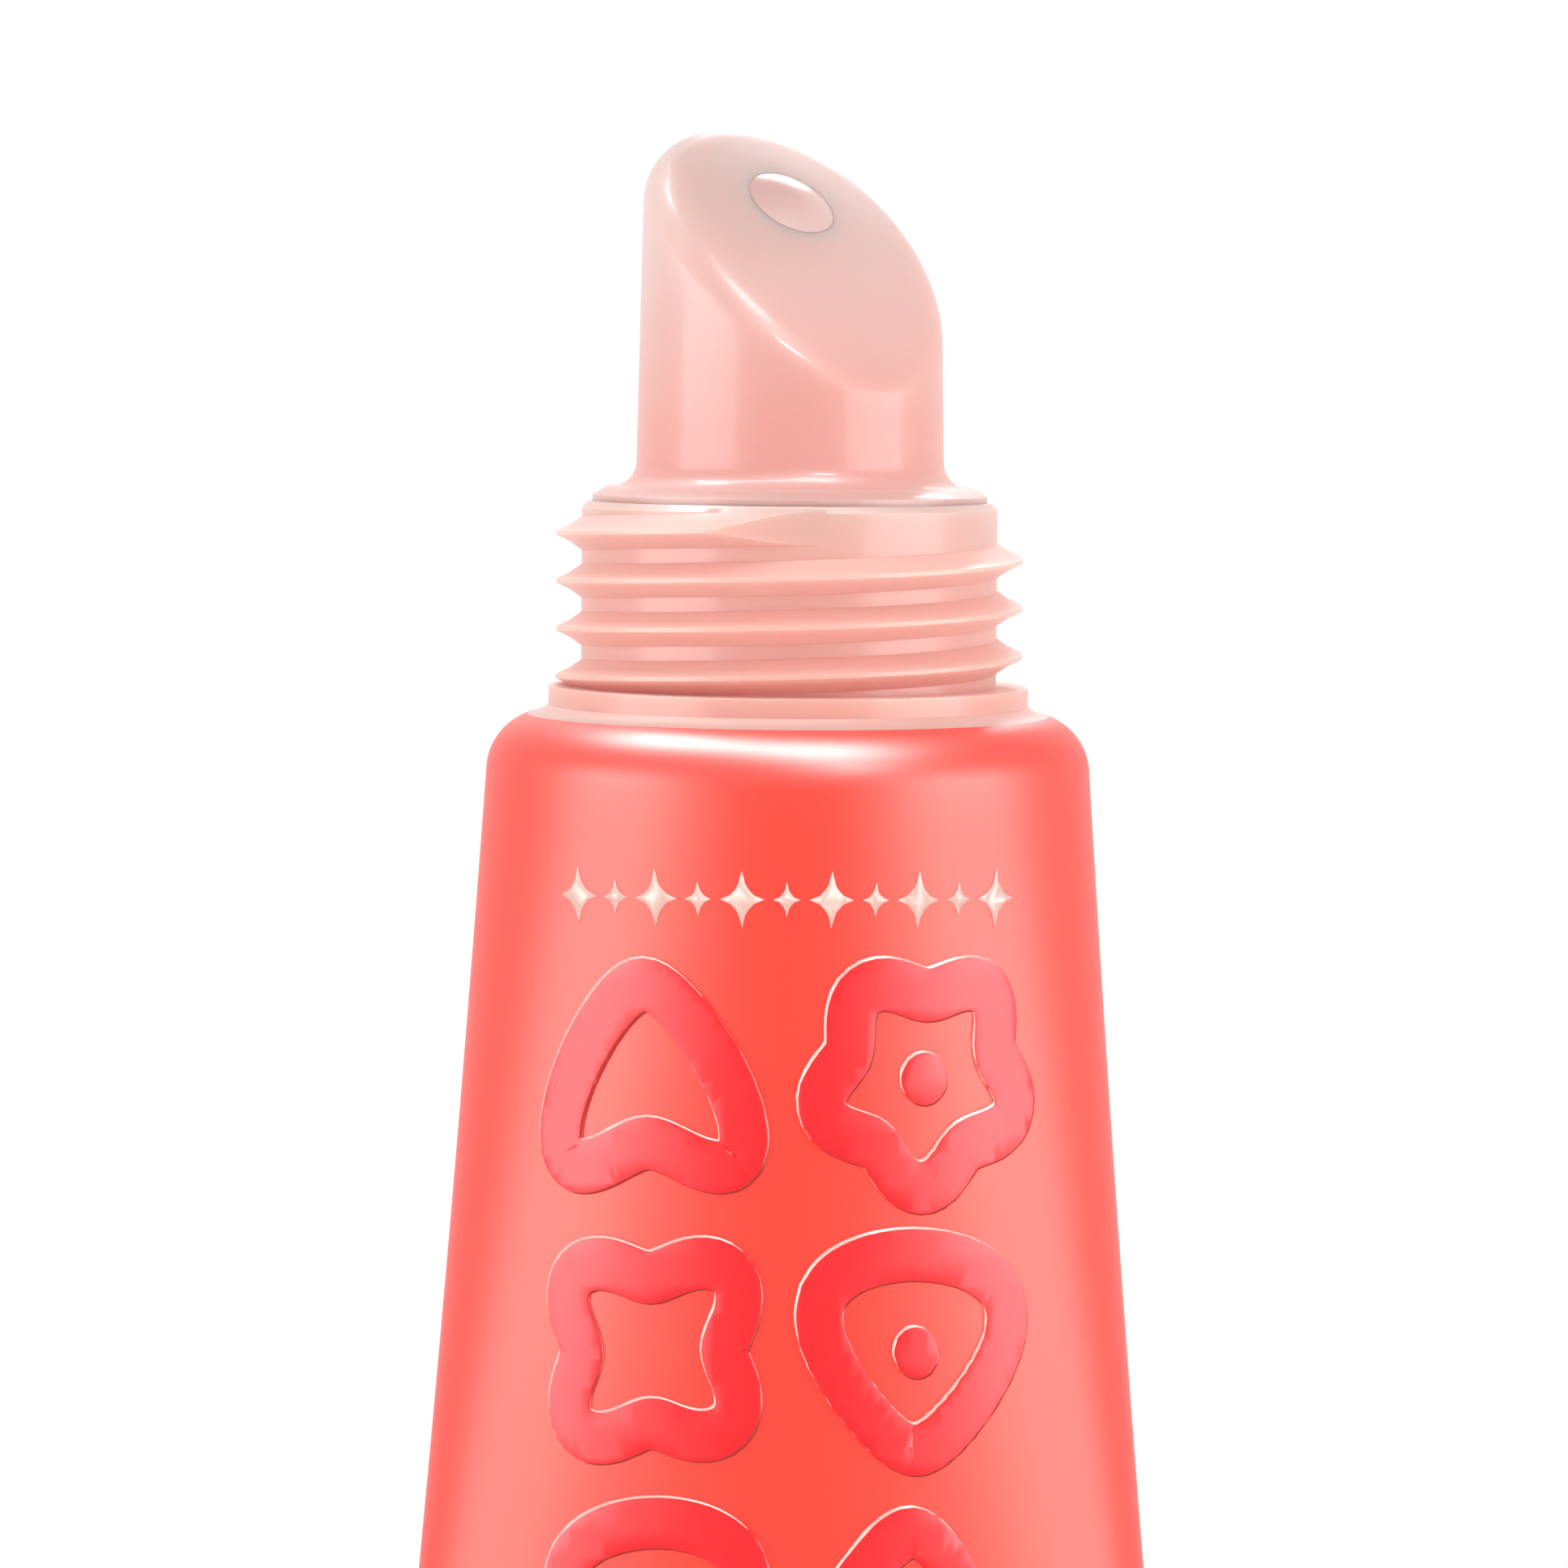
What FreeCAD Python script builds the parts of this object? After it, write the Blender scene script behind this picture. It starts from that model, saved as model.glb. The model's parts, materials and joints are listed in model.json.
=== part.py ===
import FreeCAD, Part
import math
import os

# Squeeze tube for lip gloss with a slant-tip applicator and a screw cap.
# Frame: +Z runs from the flat crimp up to the tip, the crimp lies along X, and the tube's
# front faces -Y. The origin is the middle of the crimp's lower edge. Sizes are millimetres.
# The cap is modelled where it sits when it is screwed down, then lifted off by cap_turns.

# Sleeve: an extruded tube, round at the shoulder and pressed flat at the crimp
sleeve_d = 19.0            # outside diameter at the shoulder
sleeve_wall = 0.45
tube_length = 65.0         # shoulder plane to the crimp's lower edge
crimp_height = 5.0
crimp_thickness = 0.8      # both walls, pressed a little thinner than they were
crimp_spread = 0.06        # how far the pressed walls spread past the sleeve's edge
shoulder_round = 1.9       # outside radius where the sleeve turns in over the head
turn_in = 1.3              # how far the sleeve's lip reaches in over the shoulder
flare_linear = 0.74        # share of the widening that is linear along the length
seam_opening = 0.12        # half opening of the inside where the walls meet above the crimp
loft_sections = 14

# Tube head: shoulder, skirt and threaded neck in one moulding
neck_height = 6.6          # shoulder plane to the neck's rim
neck_ledge = 0.33          # neck's rim that shows around the insert's flange
neck_wall = 1.53           # between the bore and the thread's root
neck_rim_chamfer = 0.2
flange_proud = 0.21        # how far the stop ring stands out past the thread's crest
flange_low = 0.2
flange_high = 0.8
flange_foot_share = 0.35   # where the hollow foot under the stop ring is lowest, as a share of its width
flange_foot_rise = 0.02    # how far that lowest place is above the shoulder plane
skirt_wall = 0.8
skirt_length = 4.5         # shoulder plane to the skirt's lower edge
bore_flare = 0.6           # bevel where the neck's bore opens into the shoulder

# Thread: one right-hand start on the neck, and its mate in the cap
thread_pitch = 1.5
thread_height = 0.81
thread_root_width = 1.2    # the flanks are hollow: wide at the root, thin from half height up
thread_half_width = 0.5
thread_crest_width = 0.12
thread_top_drop = 0.62     # neck's rim down to the middle of the thread's upper end
thread_top_angle = 280.0   # turn about +Z at which the thread's upper end stops
thread_turns = 3.4
run_out_angle = 28.0       # the thread's ends fade out over this much turn
thread_clearance = 0.13    # radial gap between each crest and the other thread's root
thread_root_sink = 0.1     # how deep a ridge is rooted in its wall

# Applicator tip: an insert pressed in the neck, cut on a slant and domed
tip_height = 9.4           # neck's rim to the dome's middle, on the axis
slant_angle = 41.0
slant_azimuth = -53.0      # the way the slant runs downhill
dome_bulge = 0.93          # how far the slant's middle stands above its ends
tip_edge_round = 1.2
nozzle_d = 9.66            # where the nozzle leaves its flare
nozzle_draft = 1.1         # degrees
nozzle_wall = 1.25
channel_draw = 0.15        # how much the channel narrows towards the tip, on the radius
nozzle_flare = 0.8         # radius of the flare at the nozzle's foot
disc_height = 0.45         # insert's flange, which seats on the neck's rim
disc_land = 0.12           # flat of the flange around the nozzle's flare
disc_low_edge = 0.2
disc_chamfer = 0.45
spigot_length = 5.2
spigot_wall = 0.9
press_overlap = 0.02       # how much larger the spigot is than the bore, on the radius
bead_rise = 0.15           # snap bead on the spigot, which sits in the bore's groove
bead_half = 0.35
bead_drop = 3.4            # neck's rim down to the bead's middle
orifice_d = 2.3
orifice_round = 0.35

# Filling
fill_gap = 0.06            # between the gloss and the walls that hold it
fill_margin = 0.5          # spigot's step down to the top of the gloss
fill_low_gap = 1.1         # where the walls meet up to the bottom of the gloss

# Cap: an outer shell over a threaded core with a loose sealing ring
cap_gap = 0.3              # cap's rim to the shoulder plane when it is screwed down
shell_wall = 1.1
shell_top = 1.2
shell_edge_round = 0.9
shell_rim_round = 0.3
core_wall = 0.85
core_top = 0.8
core_recess = 0.6          # core's lower edge up inside the shell's rim
core_flange_gap = 0.2      # between the neck's stop ring and the core around it
tip_headroom = 0.9         # between the tip's highest point and the core's ceiling
chamber_gap = 1.3          # between the nozzle and the core's chamber around it
rib_count = 8              # ribs that centre the core's chamber in the shell
rib_width = 0.8
cap_thread_turns = 2.6
cap_thread_drop = 0.2      # retaining bead down to the cap thread's upper end
seal_height = 1.0
seal_inner_gap = 0.1       # between the ring and the nozzle's flare
seal_inset = 0.47          # ring's edge in from the cap thread's root, on the radius
seal_gap = 0.08            # running gap around the ring
seal_bead = 0.2            # how far the core's retaining bead reaches under the ring
seal_bead_height = 0.22
cap_turns = 18             # whole turns from screwed down to the stored place above the tip

# Values that follow
sleeve_r = sleeve_d / 2
nozzle_r = nozzle_d / 2
disc_r = nozzle_r + nozzle_flare + disc_land + disc_chamfer
neck_root_r = disc_r + neck_ledge
neck_bore_r = neck_root_r - neck_wall
crest_r = neck_root_r + thread_height
flange_r = crest_r + flange_proud
shoulder_z = tube_length
rim_z = shoulder_z + neck_height
round_centre_r = sleeve_r - shoulder_round
round_z = shoulder_z - shoulder_round
inner_round = shoulder_round - sleeve_wall
lip_r = sleeve_r - turn_in
cap_lift = cap_turns * thread_pitch
cap_root_r = crest_r + thread_clearance
cap_crest_r = neck_root_r + thread_clearance
core_r = cap_root_r + core_wall
cap_r = core_r + shell_wall
seal_r = cap_root_r - seal_inset
slant_reach = nozzle_r / math.cos(math.radians(slant_angle))
dome_radius = (slant_reach ** 2 + dome_bulge ** 2) / (2 * dome_bulge)
seal_low_z = rim_z + disc_height + fill_gap
seal_high_z = seal_low_z + seal_height
EPSILON = 0.01
CUT_MARGIN = 1.0           # how far a cutter runs past what it cuts
HALF_TURN = 0.5            # the cap's ridge runs midway between the neck's
UP = FreeCAD.Vector(0, 0, 1)


def tilted(angle, azimuth):
    """Unit vector that leans from +Z by angle towards azimuth, both in degrees."""
    lean = math.radians(angle)
    turn = math.radians(azimuth)
    return FreeCAD.Vector(math.sin(lean) * math.cos(turn), math.sin(lean) * math.sin(turn), math.cos(lean))


def segment(p, q):
    """Straight edge between two (radius, height) points in the XZ plane."""
    return Part.LineSegment(FreeCAD.Vector(p[0], 0, p[1]), FreeCAD.Vector(q[0], 0, q[1])).toShape()


def arc(centre, radius, start, end):
    """Arc in the XZ plane from start to end, in degrees from +X towards +Z."""
    def at(angle):
        turn = math.radians(angle)
        x = centre[0] + radius * math.cos(turn)
        return FreeCAD.Vector(x, 0, centre[1] + radius * math.sin(turn))
    return Part.Arc(at(start), at((start + end) / 2), at(end)).toShape()


def revolve(edges):
    """Solid of revolution about Z from a closed outline in the XZ plane."""
    face = Part.Face(Part.Wire(Part.__sortEdges__(edges)))
    return face.revolve(FreeCAD.Vector(0, 0, 0), UP, 360)


def polygon(points):
    """Edges of a closed outline through (radius, height) points."""
    return [segment(p, q) for p, q in zip(points, points[1:] + points[:1])]


def cylinder(radius, low, high):
    return Part.makeCylinder(radius, high - low, FreeCAD.Vector(0, 0, low), UP)


def ring(inner, outer, low, high):
    return cylinder(outer, low, high).cut(cylinder(inner, low - CUT_MARGIN, high + CUT_MARGIN))


def helical_ridge(root, crest, low, turns, angle):
    """Ridge of one right-hand start whose middle rises from low, starting at angle."""
    outward = 1 if crest > root else -1
    sunk = root - outward * thread_root_sink
    middle = (root + crest) / 2
    half_root = thread_root_width / 2
    half_middle = thread_half_width / 2
    half_crest = thread_crest_width / 2
    outline = polygon([
        (sunk, -half_root),
        (middle, -half_middle),
        (crest, -half_crest),
        (crest, half_crest),
        (middle, half_middle),
        (sunk, half_root),
    ])
    spine = Part.makeHelix(thread_pitch, turns * thread_pitch, root)
    section = Part.Wire(Part.__sortEdges__(outline))
    ridge = Part.Wire(spine.Edges).makePipeShell([section], True, True)
    ridge.rotate(FreeCAD.Vector(0, 0, 0), UP, angle)
    ridge.translate(FreeCAD.Vector(0, 0, low))
    return ridge


def run_out(root, crest, height, angle, way):
    """Cutter that fades a ridge from its crest down to its root, at the end that lies at angle."""
    back = math.radians(run_out_angle)
    start = FreeCAD.Vector(crest * math.cos(back), -crest * math.sin(back), 0)
    end = FreeCAD.Vector(root, 0, 0)
    along = (end - start).normalize()
    outward = FreeCAD.Vector(-along.y, along.x, 0)
    if outward.dot(end) < 0:
        outward = outward * -1
    far = crest
    corners = [start - along, end + along, end + along + outward * far, start - along + outward * far]
    face = Part.Face(Part.makePolygon(corners + corners[:1]))
    block = face.extrude(FreeCAD.Vector(0, 0, thread_pitch))
    block.translate(FreeCAD.Vector(0, 0, -thread_pitch / 2))
    if way < 0:
        block = block.mirror(FreeCAD.Vector(0, 0, 0), FreeCAD.Vector(0, 1, 0))
    block.rotate(FreeCAD.Vector(0, 0, 0), UP, angle)
    block.translate(FreeCAD.Vector(0, 0, height))
    return block


def half_width(t):
    """Sleeve's half width, from round at t = 0 to flat at t = 1."""
    widening = (math.pi / 2 - 1) * sleeve_r
    return sleeve_r + widening * (flare_linear * t + (1 - flare_linear) * t * t)


def half_depth(t):
    """Sleeve's half depth: straight from the shoulder to the crimp, as the pressed tube's front is."""
    return sleeve_r + (sleeve_wall - sleeve_r) * t


def oval_loft(inset, low):
    """Solid body of the sleeve from round_z down to low, set in from its outside by inset."""
    span = round_z - crimp_height
    wires = []
    for i in range(loft_sections + 1):
        z = round_z + (low - round_z) * i / loft_sections
        t = (round_z - z) / span
        a = half_width(t)
        b = half_depth(t) - inset
        middle = FreeCAD.Vector(0, 0, z)
        if a - inset - b < EPSILON:
            curve = Part.Circle(middle, UP, a - inset)
        else:
            widest = middle + FreeCAD.Vector(a - inset, 0, 0)
            deepest = middle + FreeCAD.Vector(0, b, 0)
            curve = Part.Ellipse(widest, deepest, middle)
        wires.append(Part.Wire([curve.toShape()]))
    return Part.makeLoft(wires, True, False)


def seam_top():
    """Height at which the sleeve's inside has closed to seam_opening."""
    t = 1 - seam_opening / (sleeve_r - sleeve_wall)
    return round_z + (crimp_height - round_z) * t


def lip_ends():
    """Angle at which the turned-in lip ends, and its inner and outer ends as (radius, height)."""
    angle = math.acos((lip_r - round_centre_r) / shoulder_round)
    inner_end = (round_centre_r + inner_round * math.cos(angle), round_z + inner_round * math.sin(angle))
    outer_end = (lip_r, round_z + shoulder_round * math.sin(angle))
    return math.degrees(angle), inner_end, outer_end


def make_sleeve():
    centre = (round_centre_r, round_z)
    lip_angle, inner_lip, outer_lip = lip_ends()
    turned_in = revolve([
        arc(centre, shoulder_round, 0, lip_angle),
        segment(outer_lip, inner_lip),
        arc(centre, inner_round, lip_angle, 0),
        segment((sleeve_r - sleeve_wall, round_z), (sleeve_r, round_z)),
    ])
    body = oval_loft(0, crimp_height)
    inside = oval_loft(sleeve_wall, seam_top())
    bend_r = crimp_thickness / 2
    edge = half_width(1) + crimp_spread - bend_r
    crimp = Part.makeBox(2 * edge, crimp_thickness, crimp_height, FreeCAD.Vector(-edge, -bend_r, 0))
    for side in (-1, 1):
        bend = Part.makeCylinder(bend_r, crimp_height, FreeCAD.Vector(side * edge, 0, 0), UP)
        crimp = crimp.fuse(bend)
    return body.cut(inside).fuse([turned_in, crimp])


def make_head():
    centre = (round_centre_r, round_z)
    lip_angle, inner_lip, outer_lip = lip_ends()
    skirt_r = sleeve_r - sleeve_wall
    skirt_z = shoulder_z - skirt_length
    hollow_round = inner_round - skirt_wall
    ceiling_z = round_z + hollow_round
    chamfer = neck_rim_chamfer
    foot = FreeCAD.Vector(flange_r, 0, shoulder_z + flange_low)
    hollow_r = flange_r + flange_foot_share * (lip_r - flange_r)
    hollow = FreeCAD.Vector(hollow_r, 0, shoulder_z + flange_foot_rise)
    lip = FreeCAD.Vector(outer_lip[0], 0, outer_lip[1])
    body = revolve([
        segment((neck_bore_r, rim_z), (neck_root_r - chamfer, rim_z)),
        segment((neck_root_r - chamfer, rim_z), (neck_root_r, rim_z - chamfer)),
        segment((neck_root_r, rim_z - chamfer), (neck_root_r, shoulder_z + flange_high)),
        segment((neck_root_r, shoulder_z + flange_high), (flange_r, shoulder_z + flange_high)),
        segment((flange_r, shoulder_z + flange_high), (foot.x, foot.z)),
        Part.Arc(foot, hollow, lip).toShape(),
        segment(outer_lip, inner_lip),
        arc(centre, inner_round, lip_angle, 0),
        segment((skirt_r, round_z), (skirt_r, skirt_z)),
        segment((skirt_r, skirt_z), (skirt_r - skirt_wall, skirt_z)),
        segment((skirt_r - skirt_wall, skirt_z), (skirt_r - skirt_wall, round_z)),
        arc(centre, hollow_round, 0, 90),
        segment((round_centre_r, ceiling_z), (neck_bore_r + bore_flare, ceiling_z)),
        segment((neck_bore_r + bore_flare, ceiling_z), (neck_bore_r, ceiling_z + bore_flare)),
        segment((neck_bore_r, ceiling_z + bore_flare), (neck_bore_r, rim_z)),
    ])
    groove_z = rim_z - bead_drop
    groove = revolve(polygon([
        (neck_bore_r - CUT_MARGIN, groove_z - bead_half - bead_rise),
        (neck_bore_r, groove_z - bead_half),
        (neck_bore_r + bead_rise, groove_z),
        (neck_bore_r, groove_z + bead_half),
        (neck_bore_r - CUT_MARGIN, groove_z + bead_half + bead_rise),
    ]))
    top_z = rim_z - thread_top_drop
    low_z = top_z - thread_turns * thread_pitch
    low_angle = thread_top_angle - thread_turns * 360
    thread = helical_ridge(neck_root_r, crest_r, low_z, thread_turns, low_angle)
    thread = thread.cut(run_out(neck_root_r, crest_r, top_z, thread_top_angle, 1))
    thread = thread.cut(run_out(neck_root_r, crest_r, low_z, low_angle, -1))
    return body.cut(groove).fuse(thread)


def slant_cutter(inset):
    """Everything above the domed slant, which is set inwards by inset from the outside."""
    lean = tilted(slant_angle, slant_azimuth)
    apex = FreeCAD.Vector(0, 0, rim_z + tip_height)
    middle = apex - lean * dome_radius
    below_the_dome = 4 * dome_bulge
    wider_than_the_tip = 3 * nozzle_d
    past_the_top = 4 * tip_height
    base = middle + lean * (dome_radius - inset - below_the_dome)
    block = Part.makeCylinder(wider_than_the_tip, past_the_top, base, lean)
    return block.cut(Part.makeSphere(dome_radius - inset, middle, lean))


def make_tip():
    spigot_r = neck_bore_r + press_overlap
    spigot_z = rim_z - spigot_length
    disc_top = rim_z + disc_height
    flare_z = disc_top + nozzle_flare
    flare_centre = (nozzle_r + nozzle_flare, flare_z)
    top_z = rim_z + 2 * tip_height
    top_r = nozzle_r - (top_z - flare_z) * math.tan(math.radians(nozzle_draft))
    outside = revolve([
        segment((0, spigot_z), (spigot_r - disc_low_edge, spigot_z)),
        segment((spigot_r - disc_low_edge, spigot_z), (spigot_r, spigot_z + disc_low_edge)),
        segment((spigot_r, spigot_z + disc_low_edge), (spigot_r, rim_z)),
        segment((spigot_r, rim_z), (disc_r, rim_z)),
        segment((disc_r, rim_z), (disc_r, rim_z + disc_low_edge)),
        segment((disc_r, rim_z + disc_low_edge), (disc_r - disc_chamfer, disc_top)),
        segment((disc_r - disc_chamfer, disc_top), (flare_centre[0], disc_top)),
        arc(flare_centre, nozzle_flare, 270, 180),
        segment((nozzle_r, flare_z), (top_r, top_z)),
        segment((top_r, top_z), (0, top_z)),
        segment((0, top_z), (0, spigot_z)),
    ])
    outside = outside.cut(slant_cutter(0))
    above = [e for e in outside.Edges if e.BoundBox.ZMin > flare_z + EPSILON]
    rounded = [e for e in above if e.BoundBox.XLength > nozzle_r]
    outside = outside.makeFillet(tip_edge_round, rounded)
    bead_z = rim_z - bead_drop
    bead = revolve(polygon([
        (spigot_r - spigot_wall / 2, bead_z - bead_half),
        (spigot_r, bead_z - bead_half),
        (neck_bore_r + bead_rise, bead_z),
        (spigot_r, bead_z + bead_half),
        (spigot_r - spigot_wall / 2, bead_z + bead_half),
    ]))
    spigot_bore = neck_bore_r - spigot_wall
    channel_r = nozzle_r - nozzle_wall
    step_z = rim_z - spigot_wall
    channel = revolve(polygon([
        (0, spigot_z - CUT_MARGIN),
        (spigot_bore, spigot_z - CUT_MARGIN),
        (spigot_bore, step_z - (spigot_bore - channel_r)),
        (channel_r, step_z),
        (channel_r - channel_draw, top_z),
        (0, top_z),
    ]))
    channel = channel.cut(slant_cutter(nozzle_wall))
    lean = tilted(slant_angle, slant_azimuth)
    apex = FreeCAD.Vector(0, 0, rim_z + tip_height)
    hole = Part.makeCylinder(orifice_d / 2, 3 * nozzle_wall, apex - lean * 2 * nozzle_wall, lean)
    tip = outside.fuse(bead).cut(channel).cut(hole)
    mouth = [e for e in tip.Edges if e.BoundBox.DiagonalLength < 2 * orifice_d
             and (e.CenterOfMass - apex).Length < nozzle_wall / 2]
    return tip.makeFillet(orifice_round, mouth)


def make_gloss():
    body = oval_loft(sleeve_wall + fill_gap, seam_top() + fill_low_gap)
    skirt_z = shoulder_z - skirt_length
    body = body.common(cylinder(2 * sleeve_r, 0, skirt_z - fill_gap))
    hollow_r = sleeve_r - sleeve_wall - skirt_wall - fill_gap
    ceiling_z = round_z + inner_round - skirt_wall - fill_gap
    crown = cylinder(hollow_r, skirt_z - CUT_MARGIN, round_z)
    crown = crown.fuse(cylinder(round_centre_r, round_z - EPSILON, ceiling_z))
    column_top = rim_z - 2 * spigot_wall - fill_margin
    column = cylinder(neck_bore_r - spigot_wall - fill_gap, ceiling_z - CUT_MARGIN, column_top)
    return body.fuse([crown, column])


def make_cap_core():
    low = shoulder_z + cap_gap + core_recess
    relief_r = flange_r + core_flange_gap
    relief_z = shoulder_z + flange_high + core_flange_gap
    ceiling = tip_top_z() + tip_headroom
    chamber_r = nozzle_r + chamber_gap
    groove_r = seal_r + seal_gap
    groove_low = seal_low_z - seal_gap
    groove_high = seal_high_z + seal_gap
    outside = revolve(polygon([
        (0, low),
        (core_r, low),
        (core_r, groove_high + core_wall),
        (chamber_r + core_wall, groove_high + 2 * core_wall),
        (chamber_r + core_wall, ceiling + core_top),
        (0, ceiling + core_top),
    ]))
    inside = revolve(polygon([
        (0, low - CUT_MARGIN),
        (relief_r, low - CUT_MARGIN),
        (relief_r, relief_z),
        (cap_root_r, relief_z + relief_r - cap_root_r),
        (cap_root_r, groove_low - seal_bead_height),
        (groove_r - seal_gap - seal_bead, groove_low - seal_bead_height),
        (groove_r - seal_gap - seal_bead, groove_low),
        (groove_r, groove_low),
        (groove_r, groove_high),
        (chamber_r, groove_high),
        (chamber_r, ceiling),
        (0, ceiling),
    ]))
    core = outside.cut(inside)
    top_z = groove_low - seal_bead_height - cap_thread_drop - thread_root_width / 2
    turn = (top_z - (rim_z - thread_top_drop)) / thread_pitch + HALF_TURN
    low_z = top_z - cap_thread_turns * thread_pitch
    low_angle = thread_top_angle + (turn - cap_thread_turns) * 360
    core = core.fuse(helical_ridge(cap_root_r, cap_crest_r, low_z, cap_thread_turns, low_angle))
    rib_low = groove_high + 2 * core_wall
    for i in range(rib_count):
        corner = FreeCAD.Vector(chamber_r + core_wall / 2, -rib_width / 2, rib_low)
        rib = Part.makeBox(core_r - corner.x, rib_width, ceiling + core_top - rib_low, corner)
        rib.rotate(FreeCAD.Vector(0, 0, 0), UP, i * 360 / rib_count)
        core = core.fuse(rib.common(cylinder(core_r, rib_low, ceiling + core_top)))
    return core


def make_cap_shell():
    low = shoulder_z + cap_gap
    under = tip_top_z() + tip_headroom + core_top
    top = under + shell_top
    shell = cylinder(cap_r, low, top)
    upper = [e for e in shell.Edges if e.BoundBox.ZMin > top - EPSILON]
    shell = shell.makeFillet(shell_edge_round, upper)
    lower = [e for e in shell.Edges if e.BoundBox.ZMax < low + EPSILON]
    shell = shell.makeFillet(shell_rim_round, lower)
    return shell.cut(cylinder(core_r, low - CUT_MARGIN, under))


def make_seal_ring():
    inner = nozzle_r + nozzle_flare + seal_inner_gap
    return ring(inner, seal_r, seal_low_z, seal_high_z)


def tip_top_z():
    """Highest point that the tip could reach, as if its slant were flat and sharp."""
    return rim_z + tip_height + nozzle_r * math.tan(math.radians(slant_angle)) - tip_edge_round / 2


def save(name, shape, lift=0.0):
    placed = shape.copy()
    placed.translate(FreeCAD.Vector(0, 0, lift))
    solids = placed.Solids
    print(name, "solids", len(solids), "valid", placed.isValid(), "volume", round(placed.Volume, 2))
    solids[0].exportStep("parts/" + name + ".step")


os.makedirs("parts", exist_ok=True)
save("sleeve", make_sleeve())
save("tube_head", make_head())
save("applicator_tip", make_tip())
save("gloss", make_gloss())
save("cap_shell", make_cap_shell(), cap_lift)
save("cap_core", make_cap_core(), cap_lift)
save("cap_seal_ring", make_seal_ring(), cap_lift)
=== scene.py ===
import json
import math

import bpy
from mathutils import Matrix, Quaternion, Vector

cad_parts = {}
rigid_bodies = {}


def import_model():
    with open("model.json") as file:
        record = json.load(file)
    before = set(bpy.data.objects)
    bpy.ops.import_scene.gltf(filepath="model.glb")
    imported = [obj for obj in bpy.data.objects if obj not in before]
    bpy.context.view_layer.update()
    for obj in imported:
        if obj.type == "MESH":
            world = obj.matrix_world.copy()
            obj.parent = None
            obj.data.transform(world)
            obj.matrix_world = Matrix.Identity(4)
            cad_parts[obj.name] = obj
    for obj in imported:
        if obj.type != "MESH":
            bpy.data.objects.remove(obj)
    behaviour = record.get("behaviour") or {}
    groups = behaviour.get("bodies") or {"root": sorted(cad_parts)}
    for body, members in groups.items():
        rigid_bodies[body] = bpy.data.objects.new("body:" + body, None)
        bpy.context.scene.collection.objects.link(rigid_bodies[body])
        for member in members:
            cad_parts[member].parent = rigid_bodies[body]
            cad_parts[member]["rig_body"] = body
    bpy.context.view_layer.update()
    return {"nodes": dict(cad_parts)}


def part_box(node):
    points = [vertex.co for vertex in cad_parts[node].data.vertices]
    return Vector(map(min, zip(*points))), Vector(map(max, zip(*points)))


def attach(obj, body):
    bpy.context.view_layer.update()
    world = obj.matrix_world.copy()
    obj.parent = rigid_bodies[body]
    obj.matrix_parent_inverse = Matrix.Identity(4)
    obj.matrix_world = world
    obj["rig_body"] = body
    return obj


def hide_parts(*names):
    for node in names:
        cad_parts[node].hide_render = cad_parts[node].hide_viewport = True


bl_info = {
    "name": "Lip Gloss Tube",
    "version": (1, 0, 0),
    "blender": (4, 5, 0),
    "location": "View3D > Sidebar > Gloss Tube",
    "description": "Skins, decoration and finishes of a slant-tip lip gloss tube",
    "category": "Add Mesh",
}

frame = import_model()
MM = 0.001

SLEEVE_LOW, SLEEVE_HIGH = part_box("sleeve")
HEAD_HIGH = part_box("tube_head")[1]
TIP_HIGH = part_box("applicator_tip")[1]
CAP_LOW, CAP_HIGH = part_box("cap_shell")


# ---- small tools ----

def linear(hex_colour):
    """sRGB hex, such as FF8800, to the linear colour that a shader takes."""
    channels = [int(hex_colour[i:i + 2], 16) / 255 for i in (0, 2, 4)]
    return tuple(c / 12.92 if c <= 0.04045 else ((c + 0.055) / 1.055) ** 2.4 for c in channels) + (1.0,)


def only(piece):
    """Deselects everything else and makes piece the active object."""
    if bpy.context.mode != "OBJECT":
        bpy.ops.object.mode_set(mode="OBJECT")
    bpy.ops.object.select_all(action="DESELECT")
    piece.select_set(True)
    bpy.context.view_layer.objects.active = piece
    return piece


def pick(piece, mode, chosen):
    """In edit mode, selects the piece's vertices or faces for which chosen is true."""
    bpy.ops.object.mode_set(mode="OBJECT")
    for part in (piece.data.vertices, piece.data.edges, piece.data.polygons):
        part.foreach_set("select", [False] * len(part))
    for item in piece.data.vertices if mode == "VERT" else piece.data.polygons:
        item.select = chosen(item)
    bpy.ops.object.mode_set(mode="EDIT")
    bpy.ops.mesh.select_mode(type=mode)


def settle(piece, name, body, material, angle=40):
    """Names a finished piece, applies its place, smooths it, and gives it its finish, slot and body."""
    only(piece)
    bpy.ops.object.transform_apply(location=True, rotation=True, scale=True)
    if angle:
        bpy.ops.object.shade_smooth_by_angle(angle=math.radians(angle))
    piece.name = name
    piece.data.name = name
    piece.data.materials.clear()
    piece.data.materials.append(material)
    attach(piece, body)
    return piece


def add_modifier(piece, kind, **settings):
    """Adds a modifier with its settings and applies it."""
    only(piece)
    modifier = piece.modifiers.new(kind.title(), kind)
    for key, value in settings.items():
        setattr(modifier, key, value)
    bpy.ops.object.modifier_apply(modifier=modifier.name)


def joined(pieces):
    """One object from several."""
    only(pieces[0])
    for piece in pieces[1:]:
        piece.select_set(True)
    if len(pieces) > 1:
        bpy.ops.object.join()
    return bpy.context.view_layer.objects.active


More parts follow.
